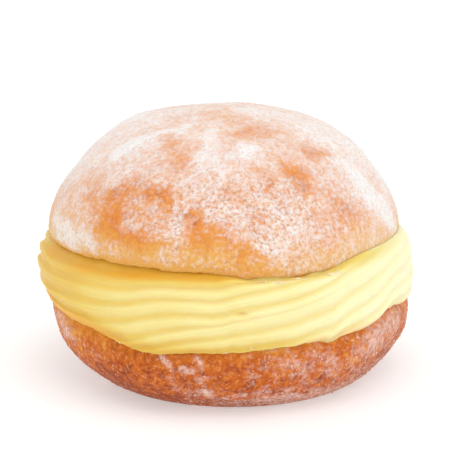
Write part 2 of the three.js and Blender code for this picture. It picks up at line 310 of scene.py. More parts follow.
def lid_sugar(p):
    """How thickly the lid is dusted, 0 bare to 1 white."""
    q = 42 * outward(bent(bent(p, 2.2, 6.0, 40), 0.9, 2.2, 60), LID_HEART)
    turn = np.arctan2(p[..., 0] - LID_SHIFT, -p[..., 1])
    z = p[..., 2]
    # The extra sugar towards the top is partly painted: painted sheen of powder seen at a grazing angle, and painted
    # light from above.
    d = 0.45 + 0.34 * streaks(q, LID_WHITE, on_lid) - 0.42 * streaks(q, LID_BARE, on_lid) + 0.12 * ease(46, 60, z)
    d = d - (0.18 + 0.15 * hump(turn, -9, 25)) * (1 - ease(36, 46, z)) - 0.12 * hump(turn, -24, 8) * (1 - ease(54, 66, z)) - 0.10 * hump(turn, -60, 35) * (1 - ease(40, 52, z))
    d = d + 0.07 * hump(turn, 2, 26) * ease(38, 44, z) * (1 - ease(52, 60, z))
    # The extra sugar high on the far left and right, where the lid is seen edge-on, is partly painted sheen of powder
    # at a grazing angle.
    d = d + (0.14 * hump(turn, -88, 34) + 0.18 * hump(turn, 86, 36)) * ease(41, 50, z) + 0.10 * hump(turn, 44, 20) * (1 - ease(40, 52, z)) - 0.05 * hump(turn, 30, 26) * ease(50, 58, z)
    return d + 0.05 * layers(p, 14, 2, 1) + 0.08 * layers(p, 4.2, 4, 2)


def base_sugar(p):
    q = bent(bent(p, 1.2, 4.0, 80), 0.6, 1.8, 90) - (BASE_SHIFT, 0, 0)
    q = q * np.stack([46 / np.maximum(np.hypot(q[..., 0], q[..., 1]), 1)] * 2 + [np.ones(q.shape[:-1])], -1)
    turn = np.arctan2(p[..., 0] - BASE_SHIFT, -p[..., 1])
    d = 0.03 + 0.58 * streaks(q, BASE_WHITE, on_base) - 0.20 * streaks(q, BASE_BARE, on_base) + 0.13 * hump(turn, 62, 40) - 0.25 * hump(turn, -34, 20) + 0.10 * hump(turn, -64, 12) + 0.05 * hump(turn, 18, 26)
    d = d + 0.24 * (1 - 0.7 * hump(turn, -36, 24)) * (1 - ease(2.0, 10, p[..., 2])) + 0.05 * layers(p, 12, 2, 5)
    return d + 0.17 * layers(p, 3.4, 3, 6)


# ---- lid -----------------------------------------------------------------------------------------
def make_lid():
    a = TURN(640)
    R = lid_radius(a)
    rim = cut_high(a, R - EDGE)
    belly = rim + LID_BELLY
    rows = []
    for share in [0, 0.25, 0.5, 0.7, 0.82, 0.88, 0.92, 0.95, 0.975]:
        r = share * (R - EDGE)
        rows.append(polar(LID_SHIFT, a, r, cut_high(a, r)))
    for b in np.linspace(pi / 2, 0, 19)[:-1]:
        rows.append(polar(LID_SHIFT, a, R - EDGE * (1 - cos(b)), belly - LID_BELLY * sin(b)))
    skirt = len(rows)
    for b in np.linspace(pi / 2, 0, 122):
        up = max(cos(b), 0.0)
        full = (1 + 0.085 * np.exp(-(((b - 0.45) / 0.24) ** 2)) - 0.026 * np.exp(-(((b - 1.08) / 0.24) ** 2))
                - 0.016 * hump(a, -90, 60) * np.exp(-(((b - 1.2) / 0.26) ** 2)))
        p = polar(LID_SHIFT, a, R * sin(b) ** 0.98 * full, belly * (1 - up) + LID_TOP * up)
        out = outward(p, (LID_SHIFT, 0, CUT_HIGH))
        rows.append(p + out * (lump(p) * ease(0, 0.4, up))[..., None])
    P = np.concatenate(rows)
    n = normals(P)
    shown = ease(0, skirt, np.arange(len(rows)))[:, None]
    sugar = lid_sugar(P)
    # Fried crust: shallow dimples, fine creases, and the thickness of the sugar itself.
    rough = (0.16 * layers(P, 9, 2, 10) - 0.10 * np.abs(noise(P, 6, 12)) + 0.07 * layers(P, 2.2, 3, 13)
             + 0.13 * ease(0.45, 1.0, sugar) * (1 + 0.5 * noise(P, 1.4, 14)))
    over = P[..., 2] - np.broadcast_to(rim, P.shape[:2])
    # The cut edge is crumbly: it frays up and down as well as in and out.
    frayed = np.exp(-((over - 0.9) / 1.7) ** 2) * ease(5, 9, np.arange(len(rows)))[:, None]
    P = P + n * (rough * (0.25 + 0.75 * shown) + 0.28 * frayed * layers(P, 1.6, 3, 16))[..., None]
    P[..., 2] += 0.34 * frayed * layers(P * (1, 1, 0), 3.4, 4, 17)
    P[0], P[-1] = P[0].mean(0), P[-1].mean(0)
    tone = ease(1.0, 14.0, over) * 0.72 - 0.10 * ease(18, 34, over) + 0.10 * layers(P, 11, 3, 15)
    tone = tone - 0.20 * hump(a, -66, 24) * (1 - ease(6, 22, over)) - 0.25 * hump(a, 48, 24) * (1 - ease(4, 18, over))
    # The lip above the cream is golden, like the crumb that the cut lays bare.
    golden = (1 - ease(0.3, 2.8, over + 0.5 * layers(P, 2.6, 2, 18))) * (1 - 0.8 * hump(a, 38, 14))
    golden[:skirt - 8] = 1
    sugar = sugar - 0.30 * golden
    coarse = 0.36 + 0.58 * np.maximum(hump(a, 0, 46), hump(a, 185, 60)) * (1 - ease(53, 65, P[..., 2]))
    # At the right its edge is painted cream-yellow: partly a real cream stain, partly painted light reflected up from
    # the cream, which pales the shaded crease.
    turn = a * DEG
    cream_stain_and_reflection = ease(24, 40, turn) * (1 - ease(100, 140, turn)) * (1 - ease(-0.2, 2.6, over + 0.6 * layers(P, 2.2, 2, 19)))
    return P, dict(sugar=sugar, tone=tone, coarse=coarse, golden=golden, cream_stain_and_reflection=cream_stain_and_reflection)


# ---- base ----------------------------------------------------------------------------------------
def make_base():
    a = TURN(640)
    R = base_radius(a)
    rim = cut_low(a, R - EDGE)
    belly = rim - BASE_BELLY
    rows = []
    for share in [0, 0.3, 0.6, 0.8, 0.9, 0.96]:
        rows.append(polar(BASE_SHIFT + FOOT_SHIFT, a, FOOT_RADIUS * share, 0.0 * a))
    k = np.sqrt(1 - (FOOT_RADIUS / R) ** 2)
    for s in np.linspace(0, 1, 78):
        b = np.arcsin(k) * (1 - s)
        p = polar(BASE_SHIFT + FOOT_SHIFT * (1 - s) ** 2, a, R * np.cos(b), belly * (1 - np.sin(b) / k))
        out = outward(p, (BASE_SHIFT, 0, CUT_LOW))
        rows.append(p + out * (lump(p) * ease(0, 0.25, s) * (1 - ease(0.7, 1, s)))[..., None])
    for b in np.linspace(0, pi / 2, 16)[1:]:
        rows.append(polar(BASE_SHIFT, a, R - EDGE * (1 - cos(b)), belly + BASE_BELLY * sin(b)))
    for share in [0.975, 0.95, 0.92, 0.86, 0.7, 0.4, 0]:
        r = share * (R - EDGE)
        rows.append(polar(BASE_SHIFT, a, r, cut_low(a, r)))
    P = np.concatenate(rows)
    n = normals(P)
    sugar = base_sugar(P)
    side = ease(0.0, 3.0, P[..., 2]) * (1 - ease(92, 99, np.arange(len(rows))))[:, None]
    rough = (0.18 * layers(P, 8, 2, 20) - 0.14 * np.abs(noise(P, 4.5, 22)) + 0.11 * layers(P, 1.9, 3, 23)
             + 0.10 * ease(0.45, 1.0, sugar))
    P = P + n * (rough * side)[..., None]
    P[..., 2] = np.maximum(P[..., 2], 0)
    P[0], P[-1] = P[0].mean(0), P[-1].mean(0)
    under = np.broadcast_to(rim, P.shape[:2]) - P[..., 2]
    # Darker towards the bottom, where the side curves under: painted shade.
    tone = 0.36 + 0.26 * ease(0.3, 4, under) + 0.50 * ease(8, 20, under) + 0.20 * layers(P, 7, 3, 24)
    tone = tone - 0.62 * hump(a, -60, 24) * (1 - ease(2, 12, under)) + 0.20 * hump(a, -34, 13) + 0.10 * hump(a, 2, 12) * ease(1, 3, under) * (1 - ease(3, 8, under)) - 0.42 * hump(a, 12, 20) * (1 - ease(0.8, 3.4, under))
    golden = np.maximum(0.9 * hump(a, -56, 24), 0.2) * (1 - ease(0.4, 6.5, under + 1.2 * layers(P, 3, 2, 25)))
    sugar = sugar - 0.25 * golden
    return P, dict(sugar=sugar, tone=tone, coarse=np.broadcast_to(0.62 - 0.16 * hump(a, 60, 45), P.shape[:2]), golden=golden)


# ---- cream ---------------------------------------------------------------------------------------
def strands(a):
    """Height shares of the six ridges across the front, by smooth curves through their stations at every 20 degrees."""
    s = np.clip((a.ravel() * DEG + 80) / 20, 0, 7.999)
    i = s.astype(int)
    f = s - i
    h = np.pad(RIDGES_FRONT, ((0, 0), (1, 1)), mode="reflect", reflect_type="odd")
    return (h[:, i] * (-0.5 * f + f**2 - 0.5 * f**3) + h[:, i + 1] * (1 - 2.5 * f**2 + 1.5 * f**3)
            + h[:, i + 2] * (0.5 * f + 2 * f**2 - 1.5 * f**3) + h[:, i + 3] * (0.5 * f**3 - 0.5 * f**2))


def ridges(v, a):
    """Which ridge each place lies on (whole numbers are crests), and how deep the valleys are there."""
    d, six = a * DEG, strands(a)
    at = np.stack([six[0] + RIDGE_PITCH * k for k in (-4, -3, -2, -1)] + list(six) + [six[5] + RIDGE_PITCH * k for k in (1, 2, 3, 4)])
    number = np.arange(-4, 10)
    phase = np.stack([np.interp(v.ravel(), at[:, j], number) for j in range(a.size)], axis=1)
    gap = np.take_along_axis(np.diff(at, axis=0), np.clip(np.floor(phase).astype(int) + 4, 0, 12), 0)
    front = ease(-104, -76, d) * (1 - ease(60, 92, d))
    back = RIDGES_BACK * (v - 0.5) + 1.5 - RIDGE_CLIMB * d / 360
    return back + front * (phase - back), 1 + front * (np.minimum(gap / 0.17, 1) ** 1.2 - 1)


# Turn in degrees, height share, half width and half height in mm.
SMEARS = [(16, 0.875, 2.6, 0.6), (22, 0.955, 1.7, 0.6), (33.5, 0.90, 2.4, 0.6), (10, 0.95, 1.5, 0.4), (128, 0.95, 2.0, 0.5),
          (171, 0.94, 2.6, 0.5), (205, 0.95, 1.6, 0.4), (246, 0.94, 2.2, 0.5)]


def make_cream():
    a = TURN(620)
    v = np.linspace(0, 1, 112)[:, None]
    d = a * DEG
    Rl, Rb = lid_radius(a), base_radius(a)
    ring = np.concatenate([48 * np.sin(a), -48 * np.cos(a), 0 * a]).T  # a loop of places, for noise that closes on itself
    shade = ease(-92, -66, d) * (1 - ease(-4, 8, d))
    low = cut_low(a, Rb - EDGE) - CREAM_DOWN + (0.35 * layers(ring, 7, 3, 30) + 0.22 * layers(ring, 2.2, 2, 38))[None] + 0.45 * hump(a, 14, 13) - 1.3 * hump(a, 33.5, 3.2) + 0.45 * hump(a, 40, 12) - 0.6 * hump(a, 54, 3) + 0.6 * hump(a, 60, 6)
    dip = 0.8 * lid_dip(a)
    high = cut_high(a, Rl - EDGE) - dip + CREAM_UP + (0.4 - CREAM_UP) * shade + 1.2 * hump(a, 64, 28)
    square = hump(a, 85, 45)
    bulge = CREAM_OUT + 0.25 * np.abs(np.sin(a)) - 0.1 * np.cos(a) - 0.7 * square
    sag = 1.1 - 0.1 * np.sin(a) - 0.2 * np.cos(a)
    groove = np.minimum(strands(a)[5:], 0.97)
    flat = (Rb + 0.3) * (1 - v) + (Rl - 0.35) * v + bulge * (1 - np.abs(2 * v**sag - 1) ** (2.4 + 2.4 * square))
    flat = flat - shade * RECESS * (0.7 * ease(groove, groove + 0.09, v) + 0.3 * ease(groove, 1.02, v))
    z = low + (high - low) * v
    # Where the lid dips, it presses the top of the cream down.
    over = np.maximum(z - (high + 1.2 * dip - 2), 0)
    z = z + dip / 1.92 * (over - 2 * (1 - np.exp(-over / 2)))
    at = polar(0, a, flat, z)
    phase, depth = ridges(v, a)
    phase = phase + 0.07 * noise(at, 14, 31) + 0.03 * noise(at, 5, 32)
    f = phase - np.floor(phase)
    crest = 1 - depth * (0.5 - 0.5 * np.cos(2 * pi * (f + RIDGE_SKEW * f * (1 - f))))
    crest = 0.5 + (crest - 0.5) * (1 - 0.3 * ease(20, 60, d) * (1 - ease(100, 140, d)))
    score = np.cos(2 * pi * (3 * phase + 0.6 * noise(at, 11, 36))) * (0.6 + 0.8 * noise(at, 7, 37))
    under = (v - groove) / (1 - groove)
    deep = shade * ease(0.0, 0.5, under)
    r = flat + RIDGE * (1 - 0.75 * shade * ease(groove, groove + 0.1, v)) * (1 + 0.18 * noise(at, 10, 33)) * (crest - 0.5)
    r = r + 0.10 * noise(at, 6, 34) + 0.03 * noise(at * (1, 1, 2.2), 1.6, 35) + 0.045 * score * (1 - deep)
    side = polar(0, a, r, z)
    # A small burst bubble between two ridges at the front.
    pit = np.exp(-((((d - 4.6) * 48 / DEG) / 1.4) ** 2) - ((z - 28.9) / 0.5) ** 2)
    side = side - outward(side, (0, 0, 27)) * (0.9 * pit)[..., None]
    # Paler to the right and deeper yellow to the left, in the valleys and in the groove under the lid: painted light
    # from the right, painted shade on the left and in the valleys, and crests painted paler as painted highlight.
    pale = ease(-10, 70, d) * (1 - ease(110, 165, d))
    left = 1 - ease(80, 135, -d)
    left_shading = left * ease(12, 50, -d)
    yellow_and_painted_shading = 0.34 + (0.12 + 0.10 * left_shading) * np.maximum(0.5 - crest, 0) - 0.12 * (1 - left_shading) * np.maximum(crest - 0.5, 0) - 0.38 * pale + left * (0.40 * ease(26, 80, -d) + 0.13 * ease(0, 45, -d))
    # Its two lips are painted yellower as painted shade: the lower one where it meets the base, and the upper one in
    # the lid's shade. The burst bubble, the top ridge under the lid and the top edge at the right are painted deeper
    # too, as painted shade.
    yellow_and_painted_shading = yellow_and_painted_shading + 0.16 * pit + (0.16 + 0.12 * hump(a, -10, 30) + 0.24 * hump(a, -48, 26)) * (1 - ease(0.02, 0.30, v))
    yellow_and_painted_shading = yellow_and_painted_shading + (0.13 + 0.18 * hump(a, -55, 25)) * (1 - ease(0.0, 0.14, v))
    yellow_and_painted_shading = yellow_and_painted_shading + 0.20 * shade * ease(groove - 0.12, groove, v) + (0.34 * hump(a, 42, 26) + 0.10 * hump(a, 50, 12) + 0.14) * ease(0.80, 0.97, v)
    yellow_and_painted_shading = yellow_and_painted_shading + 0.11 * hump(a, 8, 20) * ease(0.66, 0.88, v)
    yellow_and_painted_shading = np.clip(yellow_and_painted_shading, 0, 0.78)
    # Painted shade: dark amber where the lower lip meets the base at the left.
    yellow_and_painted_shading = yellow_and_painted_shading + (1.0 - yellow_and_painted_shading) * (0.95 * hump(a, -60, 16) * (1 - ease(0.08, 0.24, v)) + 0.5 * hump(a, -38, 10) * (1 - ease(0.03, 0.15, v)))
    # Painted shade: dark amber in the groove under the lid.
    yellow_and_painted_shading = yellow_and_painted_shading + (0.90 + 0.10 * ease(0.5, 1.0, under) - yellow_and_painted_shading) * shade * ease(-0.2, 0.35, under)
    # Painted glow: the valleys between the ridges are painted a warm yellow, standing in for light that passes through
    # the ridges.
    painted_valley_glow = np.clip(1 - 2 * crest, 0, 1) * (1 - ease(0.70, 0.90, yellow_and_painted_shading)) * (0.45 + 0.55 * left * ease(0, 35, -d))
    # The crust under it tints its thin lower lip at the right.
    blush = hump(a, 46, 17) * (1 - ease(0.03, 0.15, v))
    # Sugar and crumb off the lid, smeared on the cream below its edge.
    dust = 0
    for turn, share, wide, tall in SMEARS:
        dust = dust + np.exp(-((((d - turn + 180) % 360 - 180) * 48 / DEG / wide) ** 2) - (((v - share) * 20 + 0.18 * (((d - turn + 180) % 360 - 180) * 48 / DEG)) / tall) ** 2)
    dust = np.minimum(dust, 1) * (1 + 0.5 * noise(side, 2.0, 39))
    side = side + outward(side, (0, 0, 27)) * (0.22 * ease(0.25, 0.8, dust) * (1 + 0.8 * noise(side, 1.1, 41)))[..., None]
    rows, shading_rows, dusts, glow_rows, tints = [], [], [], [], []
    for share in [0, 0.5, 0.8, 0.9, 0.94, 0.965, 0.985]:
        p = side[0] * (share, share, 1)
        p[:, 2] = np.maximum(base_over(p[:, 0], p[:, 1]) - 0.4, side[0, :, 2])
        rows.append(p[None]), shading_rows.append(yellow_and_painted_shading[:1]), dusts.append(dust[:1]), glow_rows.append(painted_valley_glow[:1]), tints.append(blush[:1])
    # The cream clings to both crusts, and runs just into them so that no slit shows.
    low_stop, high_stop = base_over(side[..., 0], side[..., 1]) - 0.4, lid_under(side[..., 0], side[..., 1]) + 0.6
    side[..., 2] = np.maximum(np.minimum(side[..., 2], high_stop), low_stop)
    rows.append(side), shading_rows.append(yellow_and_painted_shading), dusts.append(dust), glow_rows.append(painted_valley_glow), tints.append(blush)
    for share in [0.985, 0.965, 0.94, 0.9, 0.8, 0.5, 0]:
        p = side[-1] * (share, share, 1)
        p[:, 2] = p[:, 2] + (lid_under(p[:, 0], p[:, 1]) + 0.6 - p[:, 2]) * (0.5 if share > 0.98 else 1)
        rows.append(p[None]), shading_rows.append(yellow_and_painted_shading[-1:]), dusts.append(dust[-1:]), glow_rows.append(painted_valley_glow[-1:]), tints.append(blush[-1:])
    P = np.concatenate(rows)
    P[0], P[-1] = P[0].mean(0), P[-1].mean(0)
    return P, dict(yellow_and_painted_shading=np.concatenate(shading_rows), dust=np.concatenate(dusts), painted_valley_glow=np.concatenate(glow_rows), blush=np.concatenate(tints))


# ---- sugar grains ----------------------------------------------------------------------------------
CRYSTAL = np.array([(1, 0, 0), (-1, 0, 0), (0, 1, 0), (0, -1, 0), (0, 0, 1), (0, 0, -1)], float)
CRYSTAL_FACES = np.array([(0, 2, 4), (2, 1, 4), (1, 3, 4), (3, 0, 4), (2, 0, 5), (1, 2, 5), (3, 1, 5), (0, 3, 5)])


def scatter(name, P, density, count, low, high, seed, keep):
    """Loose grains on a grid surface, `low` to `high` mm across, thicker where density is higher."""
    r = np.random.RandomState(seed)
    A, B, C, D = P[:-1], np.roll(P, -1, 1)[:-1], np.roll(P, -1, 1)[1:], P[1:]
    tri = np.concatenate([np.stack([A, B, C], 2).reshape(-1, 3, 3), np.stack([A, C, D], 2).reshape(-1, 3, 3)])
    cross = np.cross(tri[:, 1] - tri[:, 0], tri[:, 2] - tri[:, 0])
    area = np.linalg.norm(cross, axis=1)
    area[~keep(tri.mean(1))] = 0
    pick = r.choice(len(tri), size=count * 14, p=area / area.sum())
    u, w = r.rand(2, len(pick))
    over = u + w > 1
    u[over], w[over] = 1 - u[over], 1 - w[over]
    at = tri[pick, 0] + u[:, None] * (tri[pick, 1] - tri[pick, 0]) + w[:, None] * (tri[pick, 2] - tri[pick, 0])
    out = cross[pick] / np.maximum(area[pick], 1e-9)[:, None]
    good = np.nonzero(r.rand(len(at)) < density(at))[0][:count]
    at, out, n = at[good], out[good], len(good)
    size = low * (high / low) ** (r.rand(n) ** 1.8)
    shape = CRYSTAL[None] * (1 + r.uniform(-0.25, 0.25, (n, 6, 1))) * r.uniform(0.7, 1.2, (n, 1, 3))
    shape = shape + r.uniform(-0.22, 0.22, (n, 6, 3))
    turn = r.normal(size=(n, 4))
    turn /= np.linalg.norm(turn, axis=1, keepdims=True)
    s, i, j, k = turn.T
    spin = np.stack([1 - 2 * (j * j + k * k), 2 * (i * j - k * s), 2 * (i * k + j * s), 2 * (i * j + k * s), 1 - 2 * (i * i + k * k),
                     2 * (j * k - i * s), 2 * (i * k - j * s), 2 * (j * k + i * s), 1 - 2 * (i * i + j * j)], -1).reshape(n, 3, 3)
    shape = np.einsum("nij,nvj->nvi", spin, shape)
    flat = np.einsum("nvi,ni->nv", shape, out)[..., None] * out[:, None]
    shape = (shape - 0.35 * flat) * (size / 2)[:, None, None]
    verts = (at + out * (0.12 * size)[:, None])[:, None] + shape
    verts[..., 2] = np.maximum(verts[..., 2], 0.02)
    faces = (CRYSTAL_FACES[None] + 6 * np.arange(n)[:, None, None]).reshape(-1, 3)
    mesh = bpy.data.meshes.new(name)
    mesh.from_pydata(((verts.reshape(-1, 3) - MIDDLE) * MM).tolist(), [], faces.tolist())
    shade = np.repeat(r.rand(n), 6)
    mesh.attributes.new("shade", "FLOAT", "POINT").data.foreach_set("value", shade.astype(np.float32))
    # Each grain has a cell of the map to itself.
    wide = int(np.ceil(np.sqrt(n)))
    cell = np.stack([np.arange(n) % wide, np.arange(n) // wide], -1)
    spot = (cell[:, None] + 0.5 + 0.4 * np.array([(1, 0), (-1, 0.2), (0.3, 0.8), (-0.4, -0.9), (0.1, 0.15), (-0.2, -0.1)])) / wide
    mesh.uv_layers.new(name="OFBake").data.foreach_set("uv", spot.reshape(-1, 2)[faces.ravel()].astype(np.float32).ravel())
    piece = bpy.data.objects.new(name, mesh)
    bpy.context.collection.objects.link(piece)
    return piece


def crumbs(name, P, first, last, marks, seed):
    """Flakes of sugared crust lying on a grid surface, given as turn in degrees, share of the side's height, and width in mm."""
    r = np.random.RandomState(seed)
    n = normals(P)
    ball = bmesh.new()
    bmesh.ops.create_icosphere(ball, subdivisions=2, radius=1.0)
    form = np.array([v.co[:] for v in ball.verts])
    sides = np.array([[v.index for v in f.verts] for f in ball.faces])
    ball.free()
    verts, faces, shade = [], [], []
    for turn, share, wide in marks:
        i, j = first + int(round(share * (last - first))), int(round((turn + 180) / 360 * P.shape[1])) % P.shape[1]
        out = n[i, j]
        along = np.cross((0, 0, 1), out)
        along /= np.linalg.norm(along)
        up = np.cross(out, along)
        spin = r.uniform(-0.5, 0.5)
        across, over = along * cos(spin) + up * sin(spin), up * cos(spin) - along * sin(spin)
        size = wide / 2 * np.array((1.0, r.uniform(0.38, 0.6), r.uniform(0.16, 0.28)))
        lumpy = form * (1 + 0.42 * layers(form * 1.0, 1.1, 2, 200 + len(verts))[:, None]) * size
        at = P[i, j] + out * size[2] * 0.25
        verts.append(at + lumpy[:, :1] * across + lumpy[:, 1:2] * over + lumpy[:, 2:] * out)
        faces.append(sides + len(form) * (len(verts) - 1))
        shade.append(np.clip(0.55 + 0.8 * noise(form * 1.0, 0.8, 300 + len(verts)) + r.uniform(-0.25, 0.25), 0, 1))
    mesh = bpy.data.meshes.new(name)
    mesh.from_pydata(((np.concatenate(verts) - MIDDLE) * MM).tolist(), [], np.concatenate(faces).tolist())
    mesh.polygons.foreach_set("use_smooth", np.ones(len(mesh.polygons), bool))
    mesh.attributes.new("shade", "FLOAT", "POINT").data.foreach_set("value", np.concatenate(shade).astype(np.float32))
    piece = bpy.data.objects.new(name, mesh)
    bpy.context.collection.objects.link(piece)
    return piece


def crumb_marks(seed):
    """Most lie on the cream close under the lid, at the front right. A few are spread round the rest."""
    r = np.random.RandomState(seed)
    near = [(15, 0.88, 1.5), (17.5, 0.865, 1.2), (22, 0.95, 1.4), (32.5, 0.905, 1.5), (35, 0.90, 1.1)]
    near += [(r.uniform(6, 38), r.uniform(0.86, 0.95), r.uniform(0.4, 0.9)) for _ in range(10)]
    near += [(r.uniform(95, 290), r.uniform(0.95, 0.99), r.uniform(0.5, 1.8)) for _ in range(20)]
    return near + [(r.uniform(-180, 180), r.uniform(0.005, 0.04), r.uniform(0.4, 0.9)) for _ in range(12)]


# ---- materials -----------------------------------------------------------------------------------
class Nodes:
    """A small helper for building a material's node tree."""

    def __init__(self, name):
        self.material = bpy.data.materials.new(name)
        self.material.use_nodes = True
        self.tree = self.material.node_tree
        self.shader = self.tree.nodes["Principled BSDF"]
        self.place = self.tree.nodes.new("ShaderNodeTexCoord").outputs["Object"]

    def put(self, socket, value):
        if isinstance(value, bpy.types.NodeSocket):
            self.tree.links.new(value, socket)
        else:
            socket.default_value = value

    def noise(self, scale, detail=2.0, rough=0.5, warp=0.0):
        n = self.tree.nodes.new("ShaderNodeTexNoise")
        self.tree.links.new(self.place, n.inputs["Vector"])
        n.inputs["Scale"].default_value, n.inputs["Detail"].default_value = scale, detail
        n.inputs["Roughness"].default_value, n.inputs["Distortion"].default_value = rough, warp
        return n.outputs["Fac"]

    def field(self, name):
        n = self.tree.nodes.new("ShaderNodeAttribute")
        n.attribute_name = name
        return n.outputs["Fac"]

    def math(self, kind, a, b=0.0, c=0.0, clamp=False):
        n = self.tree.nodes.new("ShaderNodeMath")
        n.operation, n.use_clamp = kind, clamp
        for socket, value in zip(n.inputs, (a, b, c)):
            self.put(socket, value)
        return n.outputs[0]

    def span(self, value, a, b, low=0.0, high=1.0, smooth=True):
        n = self.tree.nodes.new("ShaderNodeMapRange")
        n.interpolation_type = "SMOOTHSTEP" if smooth else "LINEAR"
        for key, x in (("Value", value), ("From Min", a), ("From Max", b), ("To Min", low), ("To Max", high)):
            self.put(n.inputs[key], x)
        return n.outputs["Result"]

    def ramp(self, value, *stops):
        n = self.tree.nodes.new("ShaderNodeValToRGB")
        self.put(n.inputs["Fac"], value)
        e = n.color_ramp.elements
        while len(e) < len(stops):
            e.new(0.5)
        for stop, (at, colour) in zip(e, stops):
            stop.position, stop.color = at, (*colour, 1)
        return n.outputs["Color"]

    def mix(self, share, a, b):
        n = self.tree.nodes.new("ShaderNodeMix")
        n.data_type = "RGBA"
        self.put(n.inputs["Factor"], share)
        for socket, value in ((n.inputs[6], a), (n.inputs[7], b)):
            self.put(socket, value if isinstance(value, bpy.types.NodeSocket) else (*value, 1))
        return n.outputs[2]

    def bump(self, height, strength, distance):
        n = self.tree.nodes.new("ShaderNodeBump")
        n.inputs["Strength"].default_value, n.inputs["Distance"].default_value = strength, distance
        self.put(n.inputs["Height"], height)
        self.tree.links.new(n.outputs["Normal"], self.shader.inputs["Normal"])

    def set(self, **values):
        for key, value in values.items():
            self.put(self.shader.inputs[key.replace("_", " ")], value)


def crust(name, stops, lip, sugar_white, pinhole_shade, size, detail, rough, grain, patch, mottle, fleck, painted_glints, shine, sheen):
    m = Nodes(name)
    sugar, tone = m.field("sugar"), m.field("tone")
    fine, middle, blotch = m.noise(size, detail, rough), m.noise(0.6 * size, 2, 0.5), m.noise(170, 3, 0.55, 0.4)
    tone = m.math("ADD", tone, m.math("MULTIPLY", m.math("SUBTRACT", blotch, 0.5), 0.6))
    tone = m.math("ADD", tone, m.math("MULTIPLY", m.math("SUBTRACT", middle, 0.5), mottle))
    tone = m.math("ADD", tone, m.math("MULTIPLY", m.math("SUBTRACT", m.noise(1.3 * size, 2, 0.5), 0.5), fleck))
    colour = m.mix(m.field("golden"), m.ramp(tone, *stops), lip)
    # Painted glints: lighter orange specks stand in for light caught by tiny blisters of the frying.
    colour = m.mix(m.math("MULTIPLY", m.span(m.noise(1050, 2, 0.5), 0.50, 0.68), painted_glints), colour, (0.84, 0.38, 0.15))
    # A veil of sugar, grainy wherever it is thin, with pinholes down to the crust, painted darker than the crust as
    # painted shade.
    veil = m.math("ADD", sugar, m.math("MULTIPLY", m.math("SUBTRACT", middle, 0.5), patch))
    speck = m.math("MULTIPLY", m.math("SUBTRACT", fine, 0.5), m.math("MULTIPLY", m.field("coarse"), grain))
    cover = m.span(m.math("ADD", veil, speck), 0.0, 1.0)
    shaded_hole = m.math("MULTIPLY", m.span(m.noise(1320, 2, 0.5), 0.32, 0.48, 0.80, 0.0), m.math("MULTIPLY", m.field("coarse"), m.span(cover, 0.0, 0.5, 0.45, 1.0)))
    m.set(Base_Color=m.mix(m.field("cream_stain_and_reflection"), m.mix(shaded_hole, m.mix(cover, colour, sugar_white), pinhole_shade), (0.93, 0.74, 0.32)), Roughness=m.span(cover, 0, 0.8, 0.5, 0.95),
          Specular_IOR_Level=shine, Sheen_Weight=sheen, Sheen_Roughness=0.5, Sheen_Tint=(1.0, 0.92, 0.86, 1),
          Subsurface_Weight=0.3, Subsurface_Scale=0.002, Subsurface_Radius=(1.0, 0.6, 0.35))
    pore = m.noise(1300, 3, 0.6)
    m.bump(m.math("ADD", m.math("MULTIPLY", fine, m.span(cover, 0.1, 0.9, 0.3, 1.0)), m.math("MULTIPLY", pore, 0.6)), 0.6, 0.00025)
    return m.material


def custard(name):
    m = Nodes(name)
    cloud, grain = m.noise(110, 3, 0.5, 0.3), m.noise(1500, 2, 0.5)
    # yellow_and_painted_shading carries the cream's own yellow together with painted light and shade; the ramp runs
    # from pale yellow to the dark amber of painted shade.
    yellow_and_painted_shading = m.math("ADD", m.field("yellow_and_painted_shading"), m.math("MULTIPLY", m.math("SUBTRACT", cloud, 0.5), 0.22), clamp=True)
    crumb = m.span(m.math("ADD", m.field("dust"), m.math("MULTIPLY", m.math("SUBTRACT", m.noise(800, 2, 0.5), 0.5), 0.9)), 0.2, 0.85)
    smear = m.ramp(m.noise(600, 2, 0.5), (0.35, (0.84, 0.66, 0.42)), (0.6, (0.95, 0.86, 0.69)))
    yellow = m.ramp(yellow_and_painted_shading, (0.0, (0.93, 0.875, 0.56)), (0.35, (0.86, 0.74, 0.32)), (0.62, (0.80, 0.585, 0.14)), (0.82, (0.75, 0.465, 0.075)), (0.9, (0.81, 0.45, 0.055)), (1.0, (0.75, 0.37, 0.02)))
    # Painted glow: a warm yellow in the valleys between the ridges.
    yellow = m.mix(m.math("MULTIPLY", m.field("painted_valley_glow"), 0.42), yellow, (0.97, 0.76, 0.15))
    yellow = m.mix(m.math("MULTIPLY", m.field("blush"), 0.75), yellow, (0.96, 0.62, 0.34))
    m.set(Base_Color=m.mix(m.math("MULTIPLY", crumb, 0.8), yellow, smear), Roughness=m.span(grain, 0.3, 0.7, 0.38, 0.52), Specular_IOR_Level=0.3, Subsurface_Weight=0.7, Subsurface_Scale=0.004,
          Subsurface_Radius=(1.0, 0.65, 0.25))
    m.bump(m.math("ADD", grain, m.math("MULTIPLY", m.noise(420, 2, 0.5), 1.2)), 0.2, 0.00025)
    return m.material


def sugar(name, dull, bright):
    m = Nodes(name)
    m.set(Base_Color=m.mix(m.field("shade"), dull, bright), Roughness=m.span(m.noise(3000, 1), 0.3, 0.7, 0.5, 0.85),
          Specular_IOR_Level=0.4, Subsurface_Weight=0.25, Subsurface_Scale=0.0006, Subsurface_Radius=(1.0, 0.95, 0.9))
    return m.material


LID_STOPS = ((0.0, (0.79, 0.41, 0.10)), (0.35, (0.77, 0.32, 0.065)), (0.7, (0.73, 0.245, 0.048)), (1.0, (0.54, 0.145, 0.03)))
BASE_STOPS = ((0.0, (0.78, 0.34, 0.065)), (0.35, (0.63, 0.17, 0.025)), (0.7, (0.52, 0.108, 0.016)), (1.0, (0.33, 0.06, 0.016)))
